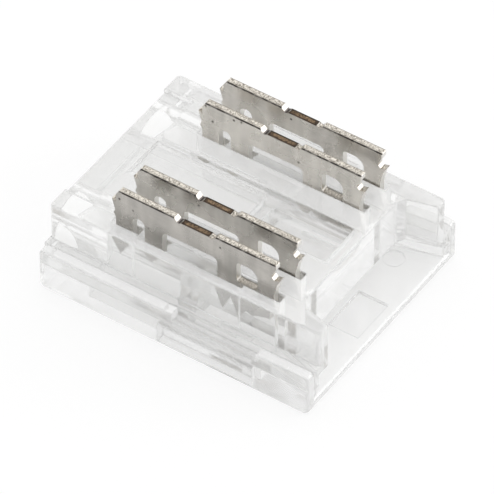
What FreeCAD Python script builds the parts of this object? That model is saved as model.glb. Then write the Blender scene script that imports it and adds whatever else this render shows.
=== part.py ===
"""Solderless connector that joins a 10 mm LED strip to two pairs of wires.

A clear base tray takes the strip and the wires, a clear cover snaps into it, and four stamped contact
blades stand in the cover's slots until they are pressed down through strip and wires.

Millimetres. X runs from the wire end to the strip end, Y across, Z up. The origin is the middle of the
underside of the base. Every piece keeps that one frame.
"""

import FreeCAD, Part

import math
import os
import Sketcher
from FreeCAD import Placement, Rotation, Vector

doc = FreeCAD.newDocument("led_strip_connector")
sheet = doc.addObject("Spreadsheet::Sheet", "Sizes")


class Length:
    """A length in millimetres with the expression that gives it from the sheet."""

    def __init__(self, value, text):
        self.value = value
        self.text = text

    @staticmethod
    def of(other):
        if isinstance(other, Length):
            return other
        return Length(float(other), repr(float(other)))

    def joined(self, other, sign, value):
        return Length(value, f"({self.text} {sign} {Length.of(other).text})")

    def __add__(self, other):
        return self.joined(other, "+", self.value + Length.of(other).value)

    def __sub__(self, other):
        return self.joined(other, "-", self.value - Length.of(other).value)

    def __mul__(self, other):
        return self.joined(other, "*", self.value * Length.of(other).value)

    def __truediv__(self, other):
        return self.joined(other, "/", self.value / Length.of(other).value)

    def __neg__(self):
        return Length(-self.value, f"(-1 * {self.text})")


row_count = 0


def size(name, value, meaning):
    """Write one driving dimension into the sheet: value, alias and what it is."""
    global row_count
    row_count += 1
    sheet.set(f"A{row_count}", str(value))
    sheet.setAlias(f"A{row_count}", name)
    sheet.set(f"B{row_count}", meaning)
    return Length(float(value), f"Sizes.{name}")


# Driving dimensions: base tray
overall_length = size("overall_length", 17.0, "wire end to strip end")
base_height = size("base_height", 2.7, "underside to the top of the side walls")
floor_thickness = size("floor_thickness", 0.7, "tray floor")
base_wall = size("base_wall", 0.55, "side wall of the base")
shelf_height = size("shelf_height", 1.4, "underside to the shelves that carry the cover")
shelf_width = size("shelf_width", 1.25, "shelf across, from the channel to the side wall")
strip_width = size("strip_width", 10.0, "LED strip that fits")
strip_play = size("strip_play", 0.5, "how much wider the channel is than the strip")
wire_shelf_length = size("wire_shelf_length", 3.0, "shelf at the wire end")
strip_shelf_length = size("strip_shelf_length", 3.1, "shelf at the strip end")
shelf_flare = size("shelf_flare", 0.8, "how far the channel opens each side at the strip end")
flare_land = size("flare_land", 0.2, "straight run of the channel before it opens")
end_round = size("end_round", 0.35, "both ends of the base, along their top and bottom edges")
base_corner = size("base_corner", 0.15, "outer edges all round each side wall")
edge_round = size("edge_round", 0.12, "small moulded edges")
notch_start = size("notch_start", 0.0, "gap in the wall top, end towards the wires")
notch_end = size("notch_end", 5.3, "gap in the wall top, end towards the strip")
notch_depth = size("notch_depth", 0.5, "gap in the wall top, down from the top")
window_start = size("window_start", -0.95, "latch window, end towards the wires")
window_end = size("window_end", 5.0, "latch window, end towards the strip")
window_sill = size("window_sill", 0.15, "underside to the bottom of the latch window")
window_head = size("window_head", 1.5, "underside to the top of the latch window")
pad_length = size("pad_length", 1.85, "sunk field of the floor, along the strip")
pad_width = size("pad_width", 2.9, "sunk field of the floor, across")
pad_edge = size("pad_edge", 0.6, "sunk field to the strip end")
pad_depth = size("pad_depth", 0.15, "how deep the field is sunk")
ejector_size = size("ejector_size", 1.2, "ejector pin mark across")
ejector_inset = size("ejector_inset", 2.25, "ejector pin mark to the strip end")
ejector_edge = size("ejector_edge", 0.75, "middle of an ejector pin mark to the channel's side")
ejector_depth = size("ejector_depth", 0.06, "how deep the pin marks are")
groove_depth = size("groove_depth", 0.45, "grooves in the floor for the long teeth")

# Driving dimensions: cover
cover_top = size("cover_top", 5.15, "underside of the base to the top of the cover")
cover_step = size("cover_step", 1.07, "side of the base to the side of the cover's upper body")
cover_play = size("cover_play", 0.04, "gap between the cover's flange and the base wall")
seat_gap = size("seat_gap", 0.02, "air between the cover's flange and the shelves")
cover_corner = size("cover_corner", 0.25, "upright corners of the cover")
cover_round = size("cover_round", 0.15, "outer top edge of the cover")
block_round = size("block_round", 0.1, "top edge of the blocks beside the lowered field")
slot_roof = size("slot_roof", 2.2, "underside of the base to the roof of the strip slot")
mouth_depth = size("mouth_depth", 2.04, "strip end to the end wall of the cover")
arm_thickness = size("arm_thickness", 0.78, "each arm beside the mouth, at its end")
mouth_taper = size("mouth_taper", 0.45, "how much each arm thickens inwards")
mouth_round = size("mouth_round", 0.2, "top edge of the mouth")
mouth_corner_run = size("mouth_corner_run", 0.3, "slanted corner between arm and end wall, along")
mouth_corner_step = size("mouth_corner_step", 0.55, "slanted corner between arm and end wall, across")
wire_wall_end = size("wire_wall_end", -0.9, "where the wire channels stop")
strip_stop = size("strip_stop", 0.2, "where the strip stops")
core_play = size("core_play", 0.05, "gap round the cover's core in the tray")
wire_to_blade = size("wire_to_blade", 0.76, "middle of a wire channel to the inner blade")
wire_channel = size("wire_channel", 3.0, "wire channel across")
wire_roof = size("wire_roof", 3.2, "underside of the base to the crown of the channel")
apron_length = size("apron_length", 1.87, "lowered field at the wire end, along")
apron_side = size("apron_side", 1.38, "ridge beside the lowered field")
apron_depth = size("apron_depth", 0.28, "lowered field below the top")
block_wall = size("block_wall", 1.57, "valley to the middle of the inner blades")
valley_step = size("valley_step", 0.3, "where the valley gets deeper")
end_wall = size("end_wall", 0.71, "wall between the valley and the mouth")
wire_valley_depth = size("wire_valley_depth", 0.5, "valley on the wire side")
strip_valley_depth = size("strip_valley_depth", 1.0, "valley on the strip side")
wire_valley_round = size("wire_valley_round", 0.2, "foot of the valley walls on the wire side")
strip_valley_round = size("strip_valley_round", 0.85, "foot of the valley walls on the strip side")
block_corner = size("block_corner", 0.5, "upright corners of the two blocks")
wire_slot_wall = size("wire_slot_wall", 1.55, "lowered field to the blade slots")
strip_slot_wall = size("strip_slot_wall", 0.95, "blade slots to the mouth")
slot_play = size("slot_play", 0.08, "gap each side of a blade in its slot")
slot_relief = size("slot_relief", 0.23, "how much wider the outer slots are between their guides")
wire_guide = size("wire_guide", 1.7, "narrow run of the outer slots at the wire end")
strip_guide = size("strip_guide", 2.2, "narrow run of the outer slots at the strip end")
latch_thickness = size("latch_thickness", 0.5, "snap arm, through its leg")
latch_hook = size("latch_hook", 0.46, "how far the hook stands out")
latch_length = size("latch_length", 5.0, "snap arm along the connector")
latch_middle = size("latch_middle", 2.15, "middle of the snap arm")
latch_foot = size("latch_foot", 0.78, "underside of the base to the foot of the snap arm")
latch_nose = size("latch_nose", 0.25, "upright face of the hook")
latch_play = size("latch_play", 0.05, "gap between the hook and the head of its window")

# Driving dimensions: contact blades
blade_thickness = size("blade_thickness", 0.4, "sheet the blades are stamped from")
blade_height = size("blade_height", 4.78, "top edge to the longest tooth")
blade_standing = size("blade_standing", 2.4, "how far the blades stand out of the cover")
slot_side_wall = size("slot_side_wall", 1.01, "side of the cover to the middle of the outer blades")
blade_pitch = size("blade_pitch", 1.98, "outer to inner blade")
blade_play = size("blade_play", 0.05, "gap at each end of a blade in its slot")
roll_over = size("roll_over", 0.08, "rolled top edge on the front face, from stamping")
carrier_drop = size("carrier_drop", 0.17, "how far the sheared length lies below the top edge")
carrier_reach = size("carrier_reach", 1.31, "middle of the sheared length to the far side of each nick")
carrier_shift = size("carrier_shift", 0.03, "middle of the sheared length to the middle of the blade")
nick_width = size("nick_width", 0.45, "nick across its mouth")
nick_depth = size("nick_depth", 0.26, "nick below the top edge")
wire_barb = size("wire_barb", 0.24, "barb at the wire end, beyond the blade")
wire_barb_depth = size("wire_barb_depth", 0.72, "top edge to the point of the upper barb at the wire end")
small_barb = size("small_barb", 0.14, "lower barb at the wire end, beyond the blade")
small_barb_depth = size("small_barb_depth", 1.7, "top edge to the point of the lower barb")
barb_root = size("barb_root", 0.1, "how far the barbs' roots lie from their points, up or down")
top_slant = size("top_slant", 0.2, "slanted corner above the barbs, along the blade")
top_slant_height = size("top_slant_height", 0.3, "slanted corner above the barbs, down from the top")
strip_barb = size("strip_barb", 0.34, "barb at the strip end, beyond the blade")
strip_barb_depth = size("strip_barb_depth", 0.98, "top edge to the point of the barb at the strip end")
strip_shoulder = size("strip_shoulder", 0.09, "how far the top corner at the strip end stands out")
strip_waist = size("strip_waist", 0.14, "hollow above the barb at the strip end")
waist_height = size("waist_height", 0.16, "hollow above the barb, upright")
first_leg = size("first_leg", 1.06, "wire leg at the end")
leg_gap = size("leg_gap", 0.75, "gap between the two wire legs")
second_leg = size("second_leg", 1.12, "inner wire leg")
leg_gap_top = size("leg_gap_top", 1.36, "top edge to the head of the gap")
leg_gap_round = size("leg_gap_round", 0.35, "head of the gap between the wire legs")
strip_leg = size("strip_leg", 3.54, "leg at the strip end")
bridge_height = size("bridge_height", 1.47, "top edge to the wide opening")
bridge_round = size("bridge_round", 0.3, "corners of the wide opening")
hole_inside = size("hole_inside", 1.2, "D-shaped hole to the inner side of the strip leg")
hole_outside = size("hole_outside", 1.03, "D-shaped hole to the outer side of the strip leg")
hole_top = size("hole_top", 1.04, "top edge to the D-shaped hole")
hole_height = size("hole_height", 1.38, "D-shaped hole, height")
hole_round = size("hole_round", 0.6, "large corner of the D-shaped hole")
hole_corner = size("hole_corner", 0.2, "small corners of the D-shaped hole")
first_tooth = size("first_tooth", 4.03, "top edge to the tip of the end leg")
second_tooth = size("second_tooth", 3.76, "top edge to the tip of the inner wire leg")
wire_shoulder = size("wire_shoulder", 3.15, "top edge to the shoulders of the wire legs")
tooth_pitch = size("tooth_pitch", 1.04, "between the two long teeth")
long_tooth = size("long_tooth", 4.58, "top edge to the tip of the first long tooth")
root_depth = size("root_depth", 3.42, "top edge to the root between the long teeth")
third_tooth = size("third_tooth", 3.98, "top edge to the tip of the third tooth")
last_tooth = size("last_tooth", 3.6, "top edge to the lower corner of the strip leg")

half_length = overall_length / 2
half_channel = (strip_width + strip_play) / 2
inner_base = half_channel + shelf_width
half_base = inner_base + base_wall
half_cover = half_base - cover_step
half_flange = inner_base - cover_play
flange_foot = shelf_height + seat_gap
mouth_wall = half_length - mouth_depth
apron_end = -half_length + apron_length
outer_blade = half_cover - slot_side_wall
inner_blade = outer_blade - blade_pitch
half_valley = inner_blade - block_wall
wire_line = inner_blade + wire_to_blade
slot_start = apron_end + wire_slot_wall
slot_end = mouth_wall - strip_slot_wall
blade_start = slot_start + blade_play + wire_barb
blade_end = slot_end - blade_play - strip_barb
blade_middle = (blade_start + blade_end) / 2
blade_top = cover_top + blade_standing

# Sketches, pads and pockets
PLANES = {"XY": "XY_Plane", "XZ": "XZ_Plane", "YZ": "YZ_Plane"}
TINY = 0.02


def new_body(name):
    """A body with its own label, which is also the name of its file."""
    body = doc.addObject("PartDesign::Body", name)
    body.Label = name
    return body


def origin_plane(body, plane):
    """One of the body's own three origin planes."""
    role = PLANES[plane]
    return next(item for item in body.Origin.OriginFeatures if item.Role == role)


def sketch_on(body, name, plane, height=None):
    """An empty sketch on an origin plane, lifted along that plane's normal by height."""
    sketch = body.newObject("Sketcher::SketchObject", f"{body.Name}_{name}_sketch")
    sketch.AttachmentSupport = [(origin_plane(body, plane), "")]
    sketch.MapMode = "FlatFace"
    if height is not None:
        sketch.AttachmentOffset = Placement(Vector(0, 0, height.value), Rotation())
        sketch.setExpression("AttachmentOffset.Base.z", height.text)
    return sketch


def place_point(sketch, edge, point, where):
    """Tie one point of an edge to the sketch origin by two sheet-driven distances."""
    for kind, distance in zip(("DistanceX", "DistanceY"), where):
        value = Length.of(distance).value
        index = sketch.addConstraint(Sketcher.Constraint(kind, -1, 1, edge, point, value))
        sketch.setExpression(f"Constraints[{index}]", Length.of(distance).text)


def outline(sketch, corners):
    """A closed outline through the corners, each given as x, y and, where it is rounded, a radius."""
    count = len(corners)
    spots = [Vector(Length.of(corner[0]).value, Length.of(corner[1]).value, 0) for corner in corners]
    ends, starts, middles = [], [], []
    for i, corner in enumerate(corners):
        back = (spots[i - 1] - spots[i]).normalize()
        onward = (spots[(i + 1) % count] - spots[i]).normalize()
        radius = corner[2].value if len(corner) == 3 else 0
        half_angle = back.getAngle(onward) / 2
        reach = radius / math.tan(half_angle)
        ends.append(spots[i] + back * reach)
        starts.append(spots[i] + onward * reach)
        middles.append(spots[i] + (back + onward).normalize() * (radius / math.sin(half_angle) - radius))
    edges = [Part.LineSegment(starts[i], ends[(i + 1) % count]) for i in range(count)]
    first = sketch.addGeometry(edges, False)[0]
    for i, corner in enumerate(corners):
        before, after = first + (i - 1) % count, first + i
        if len(corner) == 2:
            sketch.addConstraint(Sketcher.Constraint("Coincident", before, 2, after, 1))
            place_point(sketch, after, 1, corner)
            continue
        left_turn = (spots[i] - ends[i]).cross(starts[i] - spots[i]).z > 0
        arc_ends = (ends[i], starts[i]) if left_turn else (starts[i], ends[i])
        arc = sketch.addGeometry(Part.Arc(arc_ends[0], middles[i], arc_ends[1]), False)
        mark = sketch.addGeometry(Part.Point(spots[i]), True)
        place_point(sketch, mark, 1, corner[:2])
        sketch.addConstraint(Sketcher.Constraint("PointOnObject", mark, 1, before))
        sketch.addConstraint(Sketcher.Constraint("PointOnObject", mark, 1, after))
        sketch.addConstraint(Sketcher.Constraint("Tangent", before, 2, arc, 1 if left_turn else 2))
        sketch.addConstraint(Sketcher.Constraint("Tangent", arc, 2 if left_turn else 1, after, 1))
        index = sketch.addConstraint(Sketcher.Constraint("Radius", arc, corner[2].value))
        sketch.setExpression(f"Constraints[{index}]", corner[2].text)


def rectangle(sketch, low_x, high_x, low_y, high_y):
    """A closed rectangle between two pairs of limits."""
    outline(sketch, [(low_x, low_y), (high_x, low_y), (high_x, high_y), (low_x, high_y)])


def circle(sketch, x, y, radius):
    """A circle tied to the origin by its centre, with a sheet-driven radius."""
    shape = Part.Circle(Vector(Length.of(x).value, Length.of(y).value, 0), Vector(0, 0, 1), radius.value)
    edge = sketch.addGeometry(shape, False)
    place_point(sketch, edge, 3, (x, y))
    index = sketch.addConstraint(Sketcher.Constraint("Radius", edge, radius.value))
    sketch.setExpression(f"Constraints[{index}]", radius.text)


def arch(sketch, middle, half_width, foot, crown):
    """A doorway outline: flat foot, upright sides and a half-round crown."""
    spring = crown - half_width
    low_left = Vector((middle - half_width).value, foot.value, 0)
    low_right = Vector((middle + half_width).value, foot.value, 0)
    high_left = Vector((middle - half_width).value, spring.value, 0)
    high_right = Vector((middle + half_width).value, spring.value, 0)
    top = Vector(middle.value, crown.value, 0)
    edges = [Part.LineSegment(high_left, low_left), Part.LineSegment(low_left, low_right)]
    edges += [Part.LineSegment(low_right, high_right), Part.Arc(high_right, top, high_left)]
    first = sketch.addGeometry(edges, False)[0]
    for i in range(2):
        sketch.addConstraint(Sketcher.Constraint("Coincident", first + i, 2, first + i + 1, 1))
    sketch.addConstraint(Sketcher.Constraint("Coincident", first + 2, 2, first + 3, 1))
    sketch.addConstraint(Sketcher.Constraint("Coincident", first + 3, 2, first, 1))
    place_point(sketch, first + 1, 1, (middle - half_width, foot))
    place_point(sketch, first + 1, 2, (middle + half_width, foot))
    place_point(sketch, first + 3, 3, (middle, spring))
    sketch.addConstraint(Sketcher.Constraint("Vertical", first + 2))
    sketch.addConstraint(Sketcher.Constraint("Horizontal", first + 3, 1, first + 3, 3))
    sketch.addConstraint(Sketcher.Constraint("Horizontal", first + 3, 2, first + 3, 3))


def pad(body, sketch, length, both_sides=False, backwards=False):
    """Add material along the sketch's normal."""
    feature = body.newObject("PartDesign::Pad", sketch.Name.replace("_sketch", "_pad"))
    feature.Profile = sketch
    feature.Length = length.value
    feature.setExpression("Length", length.text)
    feature.Midplane = both_sides
    feature.Reversed = backwards
    doc.recompute()
    return feature


def pocket(body, sketch, depth, both_sides=False, backwards=False):
    """Remove material against the sketch's normal, and check that it removed some."""
    before = body.Shape.Volume
    feature = body.newObject("PartDesign::Pocket", sketch.Name.replace("_sketch", "_pocket"))
    feature.Profile = sketch
    feature.Length = depth.value
    feature.setExpression("Length", depth.text)
    feature.Midplane = both_sides
    feature.Reversed = backwards
    doc.recompute()
    if body.Shape.Volume >= before:
        raise RuntimeError(f"{feature.Name} cuts nothing")
    return feature


def mirrored(body, features):
    """Repeat features on the other side of the middle line."""
    feature = body.newObject("PartDesign::Mirrored", f"{features[0].Name}_mirrored")
    feature.Originals = features
    feature.MirrorPlane = (origin_plane(body, "XZ"), [""])
    body.Tip = feature
    doc.recompute()
    return feature


def edges_where(body, wanted):
    """Names of the edges of the body for which wanted, given both ends, is true."""
    names = []
    for number, edge in enumerate(body.Shape.Edges, 1):
        ends = [vertex.Point for vertex in edge.Vertexes]
        if len(ends) == 2 and wanted(*ends):
            names.append(f"Edge{number}")
    if not names:
        raise RuntimeError(f"{body.Name} has no such edge")
    return names


def dress(body, kind, name, wanted, amount):
    """Fillet or chamfer the edges for which wanted is true."""
    base = body.Tip
    names = edges_where(body, wanted)
    feature = body.newObject(f"PartDesign::{kind}", f"{body.Name}_{name}")
    feature.Base = (base, names)
    path = "Radius" if kind == "Fillet" else "Size"
    setattr(feature, path, amount.value)
    feature.setExpression(path, amount.text)
    doc.recompute()
    if not feature.isValid():
        raise RuntimeError(f"{feature.Name} failed")
    return feature


def near(value, target):
    """Whether a coordinate is the one meant."""
    return abs(value - Length.of(target).value) < TINY


def upright(start, end):
    """Whether an edge from start to end stands upright."""
    return near(start.x, end.x) and near(start.y, end.y)


def level(start, end, height):
    """Whether an edge lies level at a height."""
    return near(start.z, height) and near(end.z, height)


def across_end(start, end):
    """Whether an edge lies in one of the two end faces of the connector."""
    return near(abs(start.x), half_length) and near(start.x, end.x)


def make_base():
    """Lower moulding: a channel with four corner shelves, latch windows and tooth grooves."""
    body = new_body("base_tray")
    section = sketch_on(body, "channel", "YZ")
    outline(section, [
        (-half_base, 0), (half_base, 0), (half_base, base_height), (inner_base, base_height),
        (inner_base, floor_thickness), (-inner_base, floor_thickness), (-inner_base, base_height),
        (-half_base, base_height)])
    pad(body, section, overall_length, both_sides=True)

    def end_edge(start, end):
        return across_end(start, end) and (level(start, end, 0) or level(start, end, base_height))

    def side_edge(start, end):
        return near(abs(start.y), half_base) and near(abs(end.y), half_base) and upright(start, end)

    dress(body, "Fillet", "ends", end_edge, end_round)
    dress(body, "Fillet", "sides", side_edge, base_corner)

    shelves = sketch_on(body, "shelves", "XY", floor_thickness)
    wall_root = inner_base + base_wall / 4
    for side in (1, -1):
        rectangle(shelves, -half_length + base_corner, -half_length + wire_shelf_length,
                  half_channel * side, wall_root * side)
        start = half_length - strip_shelf_length
        outline(shelves, [
            (start, half_channel * side), (start + flare_land, half_channel * side),
            (half_length - base_corner, (half_channel + shelf_flare) * side),
            (half_length - base_corner, wall_root * side), (start, wall_root * side)])
    pad(body, shelves, shelf_height - floor_thickness)

    tops = sketch_on(body, "wall_notch", "XY", base_height)
    rectangle(tops, notch_start, notch_end, -half_base - edge_round, half_base + edge_round)
    pocket(body, tops, notch_depth)

    window = sketch_on(body, "latch_window", "XZ", half_base)
    rectangle(window, window_start, window_end, window_sill, window_head)
    mirrored(body, [pocket(body, window, base_wall)])

    field = sketch_on(body, "sunk_field", "XY", floor_thickness)
    field_end = half_length - pad_edge
    rectangle(field, field_end - pad_length, field_end, -pad_width / 2, pad_width / 2)
    pocket(body, field, pad_depth)

    marks = sketch_on(body, "ejector_marks", "XY", floor_thickness)
    for side in (1, -1):
        circle(marks, half_length - ejector_inset, (half_channel - ejector_edge) * side, ejector_size / 2)
    pocket(body, marks, ejector_depth)

    grooves = sketch_on(body, "tooth_grooves", "XY", floor_thickness)
    tooth_start = blade_end - strip_leg
    half_groove = blade_thickness / 2 + blade_play * 2
    for side in (1, -1):
        for line in (outer_blade, inner_blade):
            rectangle(grooves, tooth_start, tooth_start + tooth_pitch * 2, line * side - half_groove,
                      line * side + half_groove)
    pocket(body, grooves, groove_depth)

    def strip_edge(start, end):
        return across_end(start, end) and level(start, end, floor_thickness) and start.x > 0

    dress(body, "Chamfer", "lead_in", strip_edge, edge_round)
    return body


def make_cover():
    """Upper moulding: blade blocks, strip slot, wire channels, open mouth and two snap arms."""
    body = new_body("cover")
    section = sketch_on(body, "section", "YZ")
    outline(section, [
        (-half_flange, flange_foot), (-half_channel, flange_foot), (-half_channel, slot_roof),
        (half_channel, slot_roof), (half_channel, flange_foot), (half_flange, flange_foot),
        (half_flange, base_height), (-half_flange, base_height)])
    pad(body, section, overall_length, both_sides=True)

    block = sketch_on(body, "block", "XY", base_height)
    outline(block, [
        (-half_length, -half_cover, cover_corner), (half_length, -half_cover, cover_corner),
        (half_length, half_cover, cover_corner), (-half_length, half_cover, cover_corner)])
    pad(body, block, cover_top - base_height)

    def top_edge(start, end):
        return level(start, end, cover_top)

    dress(body, "Fillet", "top_round", top_edge, cover_round)

    core = sketch_on(body, "wire_core", "XY", floor_thickness + core_play)
    core_side = half_channel - core_play
    rectangle(core, -half_length, strip_stop, -core_side, core_side)
    pad(body, core, slot_roof - floor_thickness)

    channels = sketch_on(body, "wire_channels", "YZ", -half_length)
    for side in (1, -1):
        arch(channels, wire_line * side, wire_channel / 2, Length.of(0), wire_roof)
    pocket(body, channels, half_length + wire_wall_end, backwards=True)

    mouth = sketch_on(body, "mouth", "XY", cover_top)
    arm_end = half_cover - arm_thickness
    arm_root = arm_end - mouth_taper
    wall_side = arm_root - mouth_corner_step
    corner_x = mouth_wall + mouth_corner_run
    outline(mouth, [
        (mouth_wall, -wall_side), (corner_x, -arm_root), (half_length, -arm_end),
        (half_length, arm_end), (corner_x, arm_root), (mouth_wall, wall_side)])
    pocket(body, mouth, cover_top)

    def mouth_edge(start, end):
        return level(start, end, cover_top) and near(start.x, mouth_wall) and near(end.x, mouth_wall)

    dress(body, "Fillet", "mouth_round", mouth_edge, mouth_round)

    flare = sketch_on(body, "slot_flare", "XY", slot_roof)
    flare_start = half_length - strip_shelf_length + flare_land
    wide = half_channel + shelf_flare
    flare_end = half_length - base_corner
    outside = half_length + base_corner
    outline(flare, [
        (flare_start, -half_channel), (flare_end, -wide), (outside, -wide), (outside, wide),
        (flare_end, wide), (flare_start, half_channel)])
    pocket(body, flare, slot_roof)

    apron = sketch_on(body, "apron", "XY", cover_top)
    apron_half = half_cover - apron_side
    outline(apron, [
        (-half_length, -apron_half), (apron_end, -apron_half), (apron_end, -half_valley, block_corner),
        (valley_step, -half_valley), (valley_step, half_valley), (apron_end, half_valley, block_corner),
        (apron_end, apron_half), (-half_length, apron_half)])
    pocket(body, apron, apron_depth)

    def block_edge(start, end):
        return level(start, end, cover_top) and near(start.x, apron_end) and near(end.x, apron_end)

    dress(body, "Fillet", "block_round", block_edge, block_round)

    def apron_edge(start, end):
        return across_end(start, end) and level(start, end, cover_top - apron_depth)

    dress(body, "Fillet", "apron_round", apron_edge, cover_round)

    def valley(sketch, floor, foot):
        outline(sketch, [
            (-half_valley, cover_top), (-half_valley, floor, foot), (half_valley, floor, foot),
            (half_valley, cover_top)])

    wire_valley = sketch_on(body, "wire_valley", "YZ", apron_end)
    valley(wire_valley, cover_top - wire_valley_depth, wire_valley_round)
    pocket(body, wire_valley, valley_step - apron_end, backwards=True)

    strip_valley = sketch_on(body, "strip_valley", "YZ", valley_step)
    valley(strip_valley, cover_top - strip_valley_depth, strip_valley_round)
    pocket(body, strip_valley, mouth_wall - end_wall - valley_step, backwards=True)

    slots = sketch_on(body, "blade_slots", "XY", cover_top)
    half_slot = blade_thickness / 2 + slot_play
    wide_side = outer_blade + half_slot + slot_relief
    narrow_side = outer_blade + half_slot
    for side in (1, -1):
        inner_sides = [(inner_blade + half_slot * way) * side for way in (-1, 1)]
        rectangle(slots, slot_start, slot_end, *inner_sides)
        outline(slots, [
            (slot_start, (outer_blade - half_slot) * side), (slot_end, (outer_blade - half_slot) * side),
            (slot_end, narrow_side * side), (slot_end - strip_guide, narrow_side * side),
            (slot_end - strip_guide, wide_side * side), (slot_start + wire_guide, wide_side * side),
            (slot_start + wire_guide, narrow_side * side), (slot_start, narrow_side * side)])
    pocket(body, slots, cover_top - slot_roof + wire_roof / 10)

    arm = sketch_on(body, "snap_arm", "YZ", latch_middle)
    inner_arm = half_flange - latch_thickness
    hook = half_flange + latch_hook
    hook_top = window_head - latch_play
    outline(arm, [
        (inner_arm, flange_foot + edge_round), (inner_arm, latch_foot), (half_flange, latch_foot),
        (hook, hook_top - latch_nose), (hook, hook_top), (half_flange - edge_round, hook_top),
        (half_flange - edge_round, flange_foot + edge_round)])
    mirrored(body, [pad(body, arm, latch_length, both_sides=True)])

    return body


def blade_outline():
    """Corners of a blade seen from the front, from its upper wire end round to its strip end and back."""
    def below(depth):
        return blade_top - depth

    gap_start = blade_start + first_leg
    second_start = gap_start + leg_gap
    legs_end = second_start + second_leg
    leg_start = blade_end - strip_leg
    long_tip = leg_start + tooth_pitch * 0.46
    carrier_middle = blade_middle + carrier_shift
    left = carrier_middle - carrier_reach
    right = carrier_middle + carrier_reach
    foot = nick_width * 0.55
    corners = [(blade_start + top_slant, blade_top), (left, blade_top), (left + foot, below(nick_depth))]
    corners += [(left + nick_width, below(carrier_drop)), (right - nick_width, below(carrier_drop))]
    corners += [(right - foot, below(nick_depth)), (right, blade_top)]

    shoulder = blade_end + strip_shoulder
    waist = blade_end - strip_waist
    waist_foot = strip_barb_depth - barb_root / 2
    corners += [(shoulder, blade_top, roll_over), (shoulder, below(top_slant_height))]
    corners += [(waist, below(waist_foot - waist_height)), (waist, below(waist_foot))]
    corners += [(blade_end, below(strip_barb_depth + barb_root))]
    corners += [(blade_end + strip_barb, below(strip_barb_depth))]
    corners += [(blade_end + strip_shoulder * 2, below(strip_barb_depth + strip_barb))]
    corners += [(blade_end, below(strip_barb_depth * 2.2)), (blade_end, below(last_tooth))]

    last_foot = root_depth + blade_thickness
    corners += [(blade_end - tooth_pitch * 0.2, below(last_tooth))]
    corners += [(long_tip + tooth_pitch * 2.1, below(last_foot))]
    corners += [(long_tip + tooth_pitch * 1.9, below(third_tooth))]
    corners += [(long_tip + tooth_pitch * 1.5, below(last_foot))]
    corners += [(long_tip + tooth_pitch, below(blade_height))]
    corners += [(long_tip + tooth_pitch / 2, below(root_depth)), (long_tip, below(long_tooth))]
    corners += [(leg_start, below(root_depth - blade_thickness / 2))]
    corners += [(leg_start, below(bridge_height), bridge_round)]
    corners += [(legs_end, below(bridge_height), bridge_round)]

    corners += [(legs_end, below(wire_shoulder)), (second_start + second_leg / 2, below(second_tooth))]
    corners += [(second_start, below(wire_shoulder)), (second_start, below(leg_gap_top), leg_gap_round)]
    corners += [(gap_start, below(leg_gap_top), leg_gap_round), (gap_start, below(wire_shoulder))]
    corners += [(blade_start + first_leg / 2, below(first_tooth)), (blade_start, below(wire_shoulder))]

    corners += [(blade_start, below(small_barb_depth + small_barb * 2))]
    corners += [(blade_start - small_barb, below(small_barb_depth))]
    corners += [(blade_start - small_barb / 3, below(small_barb_depth - small_barb * 2))]
    corners += [(blade_start - wire_barb, below(wire_barb_depth))]
    corners += [(blade_start, below(wire_barb_depth + barb_root)), (blade_start, below(top_slant_height))]
    return corners


def make_blade(name, line):
    """One stamped contact blade, standing upright at its line across the connector."""
    body = new_body(name)
    profile = sketch_on(body, "outline", "XZ", -line)
    outline(profile, blade_outline())
    pad(body, profile, blade_thickness, both_sides=True)

    hole = sketch_on(body, "hole", "XZ", -line)
    hole_start = blade_end - strip_leg + hole_inside
    hole_end = blade_end - hole_outside
    hole_head = blade_top - hole_top
    hole_foot = hole_head - hole_height
    outline(hole, [
        (hole_start, hole_foot, hole_corner), (hole_end, hole_foot, hole_corner),
        (hole_end, hole_head, hole_round), (hole_start, hole_head, hole_corner)])
    pocket(body, hole, blade_thickness * 2, both_sides=True)

    def front_top_edge(start, end):
        front = near(start.y, line - blade_thickness / 2) and near(end.y, line - blade_thickness / 2)
        return front and level(start, end, blade_top)

    dress(body, "Fillet", "roll_over", front_top_edge, roll_over)
    return body


bodies = [make_base(), make_cover()]
for side, word in ((-1, "front"), (1, "back")):
    bodies.append(make_blade(f"{word}_outer_blade", outer_blade * side))
    bodies.append(make_blade(f"{word}_inner_blade", inner_blade * side))

doc.recompute()
for item in doc.Objects:
    if "Invalid" in item.State or "Error" in item.State:
        raise RuntimeError(f"{item.Name} failed: {item.State}")
os.makedirs("parts", exist_ok=True)
for body in bodies:
    shape = body.Shape
    if shape.isNull() or not shape.isValid() or len(shape.Solids) != 1:
        raise RuntimeError(f"{body.Label} is not one valid solid")
    shape.exportStep(f"parts/{body.Label}.step")
    box = shape.BoundBox
    print(body.Label, f"{shape.Volume:.2f} mm3, X {box.XMin:.2f} to {box.XMax:.2f},",
          f"Y {box.YMin:.2f} to {box.YMax:.2f}, Z {box.ZMin:.2f} to {box.ZMax:.2f}")
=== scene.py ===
"""Studio picture of the clear solderless connector for LED strips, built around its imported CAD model.

Everything is in metres and in the CAD frame: X from the wire end to the strip end, Y across, Z up.
"""

import bpy
import numpy as np
from mathutils import Matrix, Vector


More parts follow.
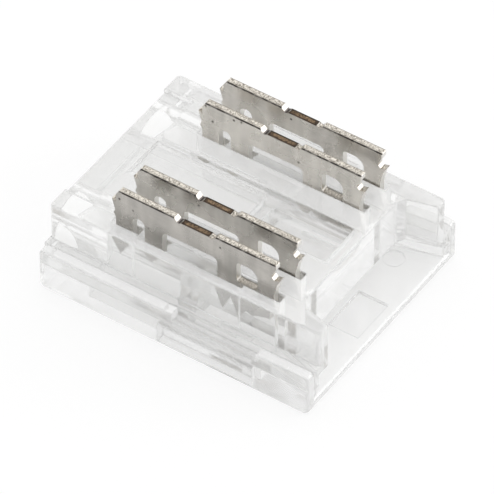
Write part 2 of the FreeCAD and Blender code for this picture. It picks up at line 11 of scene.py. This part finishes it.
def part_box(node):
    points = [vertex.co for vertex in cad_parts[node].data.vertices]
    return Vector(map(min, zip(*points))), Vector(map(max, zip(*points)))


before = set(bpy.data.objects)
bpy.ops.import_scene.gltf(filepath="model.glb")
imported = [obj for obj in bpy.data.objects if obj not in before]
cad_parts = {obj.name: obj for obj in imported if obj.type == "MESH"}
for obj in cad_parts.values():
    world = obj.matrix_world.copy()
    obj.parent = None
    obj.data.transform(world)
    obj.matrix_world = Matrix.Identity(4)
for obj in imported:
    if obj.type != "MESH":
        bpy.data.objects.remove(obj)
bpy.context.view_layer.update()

# Housing: base tray and cover, two injection mouldings in clear polycarbonate. The cover snaps into
# the tray with a hook on each side. The mould leaves the edges a little round and the walls faintly
# wavy along the flow, and the plastic is slightly hazy, more so inside than at its skin.
CLEAR_INDEX = 1.5
CLEAR_TINT = (0.97, 0.97, 0.965, 1.0)
SKIN_VEIL = 0.25
EDGE_RADIUS = 0.00015
EDGE_SAMPLES = 4
FLOW_SCALE = 520.0
FLOW_STRETCH = (0.45, 1.0, 1.0)
FLOW_DETAIL = 2.0
FLOW_DEPTH = 0.00002
FLOW_STRENGTH = 0.08
HAZE_SCALE = 2100.0
HAZE_DETAIL = 3.0
HAZE_SPAN = (0.45, 0.8)
SKIN_ROUGHNESS = (0.015, 0.08)
CORE_ROUGHNESS = (0.07, 0.13)


def emptied(owner):
    """The node tree of a material or of the world, with every node taken out."""
    owner.use_nodes = True
    owner.node_tree.nodes.clear()
    return owner.node_tree


def feed(tree, socket, value):
    """Give a socket its value: a link where the value is another socket, or else the number itself."""
    if isinstance(value, bpy.types.NodeSocket):
        tree.links.new(value, socket)
    else:
        socket.default_value = value


def add(tree, kind, settings=None, **inputs):
    """Add one shader node, set its properties, and feed its sockets by name."""
    node = tree.nodes.new(kind)
    for name, value in (settings or {}).items():
        setattr(node, name, value)
    for name, value in inputs.items():
        feed(tree, node.inputs[name.replace("_", " ")], value)
    return node


def spread(tree, value, low, high, start=0.0, end=1.0):
    """A value that runs from start to end while the input runs from low to high, and stays there beyond."""
    inputs = {"Value": value, "From_Min": low, "From_Max": high, "To_Min": start, "To_Max": end}
    return add(tree, "ShaderNodeMapRange", **inputs).outputs["Result"]


def dress(name, material):
    """Put a material on a CAD node in place of the one that it came with."""
    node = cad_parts[name]
    node.data.materials.clear()
    node.data.materials.append(material)


clear = bpy.data.materials.new("clear_polycarbonate")
tree = emptied(clear)
place = add(tree, "ShaderNodeTexCoord").outputs["Object"]
along_flow = add(tree, "ShaderNodeMapping", Vector=place, Scale=FLOW_STRETCH).outputs["Vector"]
flow = add(tree, "ShaderNodeTexNoise", Vector=along_flow, Scale=FLOW_SCALE, Detail=FLOW_DETAIL)
haze = add(tree, "ShaderNodeTexNoise", Vector=place, Scale=HAZE_SCALE, Detail=HAZE_DETAIL)
inside = add(tree, "ShaderNodeNewGeometry").outputs["Backfacing"]
clearest, haziest = (spread(tree, inside, 0.0, 1.0, *ends) for ends in zip(SKIN_ROUGHNESS, CORE_ROUGHNESS))
rough = spread(tree, haze.outputs["Fac"], *HAZE_SPAN, clearest, haziest)
share = spread(tree, inside, 0.0, 1.0, 1.0 - SKIN_VEIL, 1.0)
soft_edge = add(tree, "ShaderNodeBevel", {"samples": EDGE_SAMPLES}, Radius=EDGE_RADIUS)
wave = add(tree, "ShaderNodeBump", Height=flow.outputs["Fac"], Strength=FLOW_STRENGTH, Distance=FLOW_DEPTH,
           Normal=soft_edge.outputs["Normal"])
plastic = add(tree, "ShaderNodeBsdfPrincipled", Base_Color=CLEAR_TINT, Roughness=rough, IOR=CLEAR_INDEX,
              Transmission_Weight=share, Normal=wave.outputs["Normal"])
plastic.inputs["Transmission Weight"].default_value = 1.0 - SKIN_VEIL
add(tree, "ShaderNodeOutputMaterial", Surface=plastic.outputs["BSDF"])
for name in ("base_tray", "cover"):
    dress(name, clear)

# Contact blades: four equal stampings in copper alloy sheet, plated with tin. Each blade's tin is scaled
# by its own gain, which paints light and shade: the back blades lighter, the front outer one darkest. The
# punch rolls the top edge over on the front face and tears the cut edge; the rolled edge is painted dark as
# shade, and so is the foot of the first nick below its lit lip. Between the two nicks the blade was broken
# off its carrier strip after plating, so that bare alloy shows there, darker towards the ends of that
# length.
# Gain of each blade's tin colour: painted light and shade, lighter on the back blades.
PAINTED_LIGHT_GAIN = {
    "front_outer_blade": 0.9,
    "front_inner_blade": 1.25,
    "back_inner_blade": 1.5,
    "back_outer_blade": 1.4,
}
TIN_DARK = (0.37, 0.355, 0.33, 1.0)
TIN_LIGHT = (0.60, 0.575, 0.535, 1.0)
CUT_DARK = (0.16, 0.14, 0.115, 1.0)
CUT_LIGHT = (0.74, 0.70, 0.63, 1.0)
CUT_WALL = (0.80, 0.78, 0.74, 1.0)
PIT_DARK = (0.09, 0.08, 0.07, 1.0)
ALLOY_DARK = (0.03, 0.022, 0.018, 1.0)
ALLOY_LIGHT = (0.30, 0.21, 0.13, 1.0)
# The next colour is painted shade, put on the rolled front top edge and on the foot of the first nick.
PAINTED_SHADE = (0.10, 0.09, 0.085, 1.0)
FACE_ROUGHNESS = (0.32, 0.22)
CUT_ROUGHNESS = 0.36
CLOUD_SCALE = (700.0, 700.0, 700.0)
CLOUD_DETAIL = 5.0
CLOUD_SPAN = (0.3, 0.7)
CLOUD_SHARE = 0.4
LINE_SCALE = (400.0, 400.0, 12000.0)
LINE_DETAIL = 3.0
LINE_SPAN = (0.3, 0.7)
LINE_SHARE = 0.2
LINE_STRENGTH = 0.05
STREAK_SCALE = (1500.0, 300.0, 160.0)
STREAK_SPAN = (0.35, 0.65)
STREAK_SHARE = 0.4
PIT_SCALE = 2200.0
PIT_RIM = (0.1, 0.2)
PIT_CHOICE = (0.86, 0.87)
TEAR_SCALE = (20000.0, 7000.0, 7000.0)
TEAR_SPAN = (0.38, 0.58)
FRONT_BAND = 0.0002
FRONT_TEARS = 0.45
BACK_BAND = 0.00006
BACK_TEARS = 0.1
CARRIER_DROP = 0.00017
CARRIER_SUNK = (0.5, 0.8)
CARRIER_START = -0.000665
CARRIER_END = 0.001055
CARRIER_SKIN = 0.00012
SKIN_TEARS = 0.2
BARE_SPAN = (0.35, 0.65)
# Over this length at each end of the sheared length, the bare alloy goes to its darkest colour.
DARK_END_LENGTH = 0.00025
NICK_WIDTH = 0.0006
NICK_SHINE = 0.00018
ROLL_DEPTH = 0.0003
ROLL_TOP = 0.0001
CHIP_SCALE = (2600.0, 2600.0, 900.0)
CHIP_SPAN = (0.42, 0.55)
CHIP_LEAST = 0.35
FACING_UP = (0.5, 0.8)
TURNED = (0.1, 0.3)
SOFT = 0.00002


def blend(tree, share, below, above):
    """A colour that is the first at a share of 0, the second at 1, and in proportion between."""
    node = add(tree, "ShaderNodeMix", {"data_type": "RGBA"})
    factor, first, second = node.inputs[0], node.inputs[6], node.inputs[7]
    feed(tree, factor, share)
    feed(tree, first, below)
    feed(tree, second, above)
    return node.outputs[2]


def combine(tree, operation, first, second):
    """One operation of arithmetic on two sockets."""
    node = add(tree, "ShaderNodeMath", {"operation": operation})
    feed(tree, node.inputs[0], first)
    feed(tree, node.inputs[1], second)
    return node.outputs["Value"]


def product(tree, first, *others):
    """All shares multiplied together."""
    for other in others:
        first = combine(tree, "MULTIPLY", first, other)
    return first


def patterned(tree, place, scale, detail=2.0):
    """Noise of the place times a scale along each axis."""
    stretched = add(tree, "ShaderNodeMapping", Vector=place, Scale=scale).outputs["Vector"]
    return add(tree, "ShaderNodeTexNoise", Vector=stretched, Scale=1.0, Detail=detail).outputs["Fac"]


def pit_share(tree, place):
    """1 near the middle of the few cells whose random number lies above the choice, and 0 elsewhere."""
    cells = add(tree, "ShaderNodeTexVoronoi", Vector=place, Scale=PIT_SCALE)
    draw = add(tree, "ShaderNodeSeparateXYZ", Vector=cells.outputs["Color"]).outputs["X"]
    core = spread(tree, cells.outputs["Distance"], *PIT_RIM, 1.0, 0.0)
    return product(tree, core, spread(tree, draw, *PIT_CHOICE))


def torn_share(tree, tears, across, front, back):
    """The tears of the cut edge, times a smaller share in a band along each face of the sheet."""
    near_front = spread(tree, across, front, front + FRONT_BAND, FRONT_TEARS, 1.0)
    near_back = spread(tree, across, back, back - BACK_BAND, BACK_TEARS, 1.0)
    return product(tree, spread(tree, tears, *TEAR_SPAN), near_front, near_back)


def nick_foot_shade_share(tree, along, height, top):
    """Painted shade: 1 between the ends of the first nick and below its bright lip, and 0 elsewhere."""
    start = CARRIER_START - NICK_WIDTH
    past_start = spread(tree, along, start, start + SOFT)
    before_end = spread(tree, along, CARRIER_START, CARRIER_START - SOFT)
    below_lip = spread(tree, height, top - NICK_SHINE, top - NICK_SHINE - SOFT)
    return product(tree, past_start, before_end, below_lip)


def carrier_share(tree, along, height, top):
    """1 between the ends of the sheared length and as low as its drop below the top, and 0 elsewhere."""
    past_start = spread(tree, along, CARRIER_START - SOFT, CARRIER_START)
    before_end = spread(tree, along, CARRIER_END + SOFT, CARRIER_END)
    sunk = spread(tree, height, *(top - CARRIER_DROP * part for part in CARRIER_SUNK))
    return product(tree, sunk, past_start, before_end)


def bared_share(tree, tears, along, across, front, back):
    """The tears of the sheared length, fading to its ends, to the plating in front and to the back face."""
    past_start = spread(tree, along, CARRIER_START, CARRIER_START + DARK_END_LENGTH)
    before_end = spread(tree, along, CARRIER_END, CARRIER_END - DARK_END_LENGTH)
    skin = front + CARRIER_SKIN
    past_skin = spread(tree, across, skin - SOFT, skin, SKIN_TEARS, 1.0)
    before_back = spread(tree, across, back - BACK_BAND, back - BACK_BAND * 2)
    return product(tree, spread(tree, tears, *BARE_SPAN), past_start, before_end, past_skin, before_back)


def rolled_shade_share(tree, place, height, facing_across, facing_up, top):
    """Painted shade: 1 where the surface leans up and forward near the top edge, times the chips in it."""
    leaning = spread(tree, facing_up, *TURNED)
    forward = spread(tree, facing_across, *(-turn for turn in TURNED))
    near_top = spread(tree, height, top - ROLL_DEPTH, top - ROLL_TOP)
    chips = spread(tree, patterned(tree, place, CHIP_SCALE), *CHIP_SPAN, CHIP_LEAST, 1.0)
    return product(tree, leaning, forward, near_top, chips)


def tin_plate(name, low, high, painted_light_gain):
    """Tin plate for the blade in the box from low to high.

    A face goes from dark to light tin by the sum of its clouds, lines and streaks, all times the gain,
    which paints light and shade on the whole blade. An edge that faces up goes from dark to light by its
    tears, and the other cut edges are plain. The rolled front top edge and the foot of the first nick are
    painted dark as shade.
    """
    material = bpy.data.materials.new(name)
    tree = emptied(material)
    source = add(tree, "ShaderNodeTexCoord")
    place = source.outputs["Object"]
    along, across, height = add(tree, "ShaderNodeSeparateXYZ", Vector=place).outputs
    normal = source.outputs["Normal"]
    _, facing_across, facing_up = add(tree, "ShaderNodeSeparateXYZ", Vector=normal).outputs

    clouds = patterned(tree, place, CLOUD_SCALE, CLOUD_DETAIL)
    lines = patterned(tree, place, LINE_SCALE, LINE_DETAIL)
    streaks = patterned(tree, place, STREAK_SCALE)
    cloudy = spread(tree, clouds, *CLOUD_SPAN, 0.0, CLOUD_SHARE)
    lined = spread(tree, lines, *LINE_SPAN, 0.0, LINE_SHARE)
    streaked = spread(tree, streaks, *STREAK_SPAN, 0.0, STREAK_SHARE)
    shade = combine(tree, "ADD", combine(tree, "ADD", cloudy, lined), streaked)
    # The gain paints light and shade: it lightens or darkens the tin of the whole blade.
    dark, light = ([channel * painted_light_gain for channel in colour[:3]] + [1.0] for colour in (TIN_DARK, TIN_LIGHT))
    face = blend(tree, pit_share(tree, place), blend(tree, shade, dark, light), PIT_DARK)

    tears = patterned(tree, place, TEAR_SCALE)
    torn = blend(tree, torn_share(tree, tears, across, low.y, high.y), CUT_DARK, CUT_LIGHT)
    cut = blend(tree, spread(tree, facing_up, *FACING_UP), CUT_WALL, torn)
    # The foot of the first nick, below its lit lip, is painted dark as shade.
    cut = blend(tree, nick_foot_shade_share(tree, along, height, high.z), cut, PAINTED_SHADE)
    bared = bared_share(tree, tears, along, across, low.y, high.y)
    bare = blend(tree, bared, ALLOY_DARK, ALLOY_LIGHT)
    cut = blend(tree, carrier_share(tree, along, height, high.z), cut, bare)

    on_edge = spread(tree, product(tree, facing_across, facing_across), *TURNED, 1.0, 0.0)
    # The rolled front top edge, where it leans up and forward, is painted dark as shade, broken by chips.
    rolled_shade = rolled_shade_share(tree, place, height, facing_across, facing_up, high.z)
    colour = blend(tree, rolled_shade, blend(tree, on_edge, face, cut), PAINTED_SHADE)

    smooth = spread(tree, clouds, *CLOUD_SPAN, *FACE_ROUGHNESS)
    rub = combine(tree, "MAXIMUM", smooth, spread(tree, on_edge, 0.0, 1.0, 0.0, CUT_ROUGHNESS))
    grain = add(tree, "ShaderNodeBump", Height=lines, Strength=LINE_STRENGTH, Distance=SOFT)
    metal = add(tree, "ShaderNodeBsdfPrincipled", Base_Color=colour, Metallic=1.0, Roughness=rub,
                Normal=grain.outputs["Normal"])
    add(tree, "ShaderNodeOutputMaterial", Surface=metal.outputs["BSDF"])
    return material


for name, painted_light_gain in PAINTED_LIGHT_GAIN.items():
    low, high = (Vector(corner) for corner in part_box(name))
    dress(name, tin_plate(f"tin_plate_{name}", low, high, painted_light_gain))

# Table: one sheet of white paper under the connector, far wider than the picture. The camera, the
# metal and the plastic see it mostly as a white glow, and its matt share keeps the soft shadow.
TABLE_HALF = 1.5
TABLE_DROP = 0.00001
PAPER = (0.93, 0.93, 0.93, 1.0)
SEEN_WHITE = 0.85

ends = np.array([-TABLE_HALF, TABLE_HALF])
grid_x, grid_y = np.meshgrid(ends, ends)
corners = np.stack([grid_x.ravel(), grid_y.ravel(), np.full(grid_x.size, -TABLE_DROP)], axis=1)
mesh = bpy.data.meshes.new("table")
mesh.from_pydata(corners.tolist(), [], [[0, 1, 3, 2]])
table = bpy.data.objects.new("table", mesh)
bpy.context.scene.collection.objects.link(table)


def greatest(tree, first, *others):
    """The greatest of all values."""
    for other in others:
        first = combine(tree, "MAXIMUM", first, other)
    return first


paper = bpy.data.materials.new("paper")
tree = emptied(paper)
path = add(tree, "ShaderNodeLightPath").outputs
seen = greatest(tree, path["Is Camera Ray"], path["Is Glossy Ray"], path["Is Transmission Ray"])
matt = add(tree, "ShaderNodeBsdfDiffuse", Color=PAPER).outputs["BSDF"]
white = add(tree, "ShaderNodeEmission", Color=(1.0, 1.0, 1.0, 1.0), Strength=1.0).outputs["Emission"]
mixed = add(tree, "ShaderNodeMixShader", Fac=spread(tree, seen, 0.0, 1.0, 0.0, SEEN_WHITE))
feed(tree, mixed.inputs[1], matt)
feed(tree, mixed.inputs[2], white)
add(tree, "ShaderNodeOutputMaterial", Surface=mixed.outputs["Shader"])
mesh.materials.append(paper)

# Light: a pale room whose front left side is dimmer in mirrored light, a broad soft box overhead, and
# a smaller one on the right that draws the edges. Neither box is seen through the plastic.
ROOM_WHITE = 1.0
ROOM_PLAIN = 0.9
ROOM_DIM = 0.3
ROOM_THROUGH = (0.9, 1.0)
DIM_SIDE = (-0.40, -0.71, 0.58)
DIM_SPAN = (0.45, 0.9)

world = bpy.data.worlds.new("room")
bpy.context.scene.world = world
tree = emptied(world)
path = add(tree, "ShaderNodeLightPath").outputs
mirrored = path["Is Glossy Ray"]
through = path["Is Transmission Ray"]
direction = add(tree, "ShaderNodeTexCoord").outputs["Generated"]
towards = add(tree, "ShaderNodeVectorMath", {"operation": "DOT_PRODUCT"})
feed(tree, towards.inputs[0], direction)
feed(tree, towards.inputs[1], DIM_SIDE)
side = spread(tree, towards.outputs["Value"], *DIM_SPAN, ROOM_WHITE, ROOM_DIM)
in_mirror = product(tree, side, mirrored, spread(tree, through, 0.0, 1.0, 1.0, 0.0))
in_plastic = product(tree, spread(tree, side, ROOM_DIM, ROOM_WHITE, *ROOM_THROUGH), through)
elsewhere = spread(tree, greatest(tree, mirrored, through), 0.0, 1.0, ROOM_PLAIN, 0.0)
level = greatest(tree, in_mirror, in_plastic, elsewhere, path["Is Camera Ray"])
room = add(tree, "ShaderNodeBackground", Color=(1.0, 1.0, 1.0, 1.0), Strength=level).outputs["Background"]
add(tree, "ShaderNodeOutputWorld", Surface=room)


def soft_box(name, position, side, power):
    """A square soft box that faces the connector."""
    light = bpy.data.lights.new(name, "AREA")
    light.shape = "SQUARE"
    light.size = side
    light.energy = power
    lamp = bpy.data.objects.new(name, light)
    bpy.context.scene.collection.objects.link(lamp)
    spot = Vector(position)
    lamp.matrix_world = Matrix.Translation(spot) @ spot.to_track_quat("Z", "Y").to_matrix().to_4x4()
    lamp.visible_transmission = False


soft_box("overhead", position=(-0.05, 0.15, 0.5), side=0.45, power=0.6)
soft_box("edge_light", position=(0.354, 0.293, 0.198), side=0.2, power=0.5)

# Camera: a long lens, 45 degrees above the table, looking from the front right. Colours stay plain,
# and light may cross the clear walls many times.
LOOK_AT = Vector((0.000233, -0.000444, 0.002268))
DISTANCE = 0.35047
RIGHT = Vector((0.8284, 0.5602, 0.0))
UP = Vector((-0.3963, 0.5861, 0.7067))
BACK = Vector((0.3959, -0.5854, 0.7075))
LENS = 486.5
SENSOR = 36.0
NEAREST = 0.01
BOUNCES = 96

lens = bpy.data.cameras.new("camera")
lens.lens = LENS
lens.sensor_width = SENSOR
lens.clip_start = NEAREST
camera = bpy.data.objects.new("camera", lens)
bpy.context.scene.collection.objects.link(camera)
turn = Matrix((RIGHT, UP, BACK)).transposed().to_4x4()
camera.matrix_world = Matrix.Translation(LOOK_AT + BACK * DISTANCE) @ turn
bpy.context.scene.camera = camera
bpy.context.scene.view_settings.view_transform = "Standard"
bpy.context.scene.cycles.max_bounces = BOUNCES
bpy.context.scene.cycles.transmission_bounces = BOUNCES
bpy.context.scene.cycles.glossy_bounces = BOUNCES
bpy.context.scene.cycles.diffuse_bounces = BOUNCES // 2
